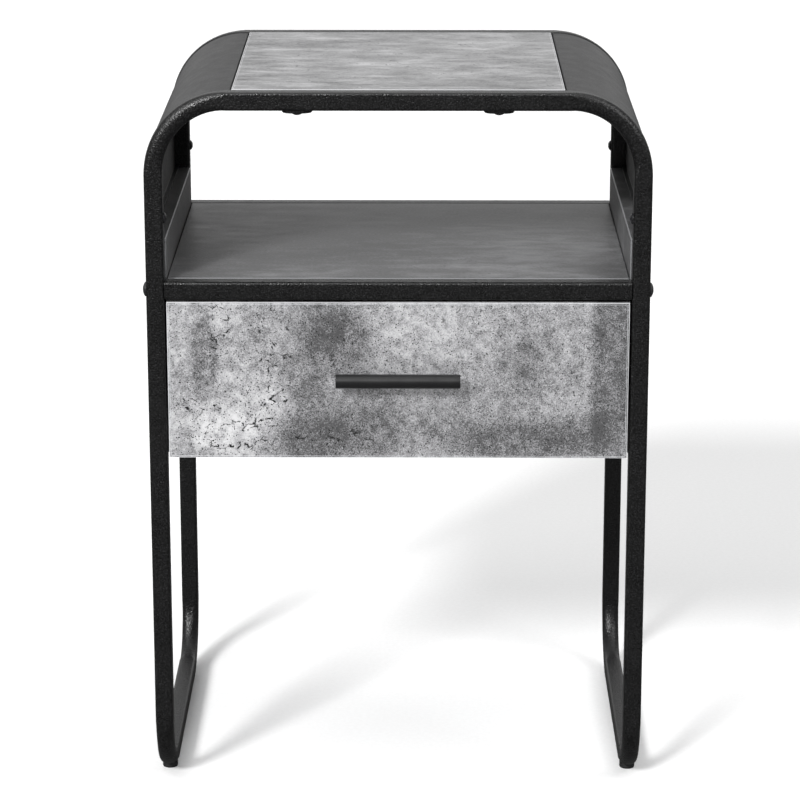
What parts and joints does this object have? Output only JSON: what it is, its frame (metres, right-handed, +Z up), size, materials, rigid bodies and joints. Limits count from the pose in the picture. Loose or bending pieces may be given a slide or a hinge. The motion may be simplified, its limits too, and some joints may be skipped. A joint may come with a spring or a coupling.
{
  "type": "side table with drawer",
  "caption": "Side table with bent tube arches on sled side frames, rounded sheet corners, concrete decor boards, an open shelf and a drawer with a bar handle below it.",
  "frame": {"origin": "on the floor, under the middle of the whole object with its handle", "axes": "+Z up, the drawer opens towards -Y, +X to the right seen from the front"},
  "size_m": [0.446, 0.362, 0.6425],
  "materials": {
    "powder_coated_tube": "fine-textured matt black powder coat",
    "powder_coated_sheet": "satin black powder coat",
    "concrete_decor_board": "board with a pitted concrete decor, semi-matt",
    "shelf_decor_board": "board with a darker concrete decor, satin",
    "drawer_box_board": "dark grey laminated board",
    "black_fasteners": "black zinc plate",
    "handle_black": "smooth satin black lacquer",
    "zinc_fittings": "bright zinc plate",
    "bright_steel": "rolled steel, bright zinc plate",
    "beech_dowels": "fluted beech",
    "black_plastic": "moulded black plastic"
  },
  "bodies": {
    "frame": {"front_arch": "powder_coated_tube", "rear_arch": "powder_coated_tube", "left_side_frame": "powder_coated_tube", "right_side_frame": "powder_coated_tube", "joint_spigots": "zinc_fittings", "joint_screws": "black_fasteners", "front_rail": "powder_coated_tube", "rear_rail": "powder_coated_tube", "rail_inserts": "zinc_fittings", "rail_bolts": "black_fasteners", "left_corner_cover": "powder_coated_sheet", "right_corner_cover": "powder_coated_sheet", "top_panel": "concrete_decor_board", "top_brackets": "powder_coated_tube", "top_bracket_screws": "black_fasteners", "top_panel_screws": "black_fasteners", "left_side_board": "shelf_decor_board", "right_side_board": "shelf_decor_board", "board_tongues": "powder_coated_tube", "board_screws": "zinc_fittings", "shelf_panel": "shelf_decor_board", "back_panel": "concrete_decor_board", "cam_locks": "zinc_fittings", "cam_bolts": "bright_steel", "panel_dowels": "beech_dowels", "floor_pads": "black_plastic", "left_cabinet_slide": "bright_steel", "right_cabinet_slide": "bright_steel", "cabinet_slide_screws": "zinc_fittings", "slide_bumpers": "black_plastic"},
    "drawer": {"drawer_front": "concrete_decor_board", "drawer_left_side": "drawer_box_board", "drawer_right_side": "drawer_box_board", "drawer_back": "drawer_box_board", "drawer_bottom": "drawer_box_board", "drawer_dowels": "beech_dowels", "drawer_back_screws": "zinc_fittings", "handle_bar": "handle_black", "handle_posts": "handle_black", "handle_screws": "zinc_fittings", "left_drawer_slide": "bright_steel", "right_drawer_slide": "bright_steel", "drawer_slide_screws": "zinc_fittings"},
    "left_cage": {"left_ball_cage": "zinc_fittings", "left_slide_balls": "bright_steel"},
    "right_cage": {"right_ball_cage": "zinc_fittings", "right_slide_balls": "bright_steel"}
  },
  "joints": [
    {"name": "drawer_slide", "type": "slide", "parent": "frame", "child": "drawer", "axis": [0, -1, 0], "range_m": [0, 0.22]},
    {"name": "left_cage_travel", "type": "slide", "parent": "frame", "child": "left_cage", "axis": [0, -1, 0], "range_m": [0, 0.11]},
    {"name": "right_cage_travel", "type": "slide", "parent": "frame", "child": "right_cage", "axis": [0, -1, 0], "range_m": [0, 0.11]}
  ],
  "couplings": [
    {"joint": "left_cage_travel", "follows": "drawer_slide", "ratio": 0.5},
    {"joint": "right_cage_travel", "follows": "drawer_slide", "ratio": 0.5}
  ]
}
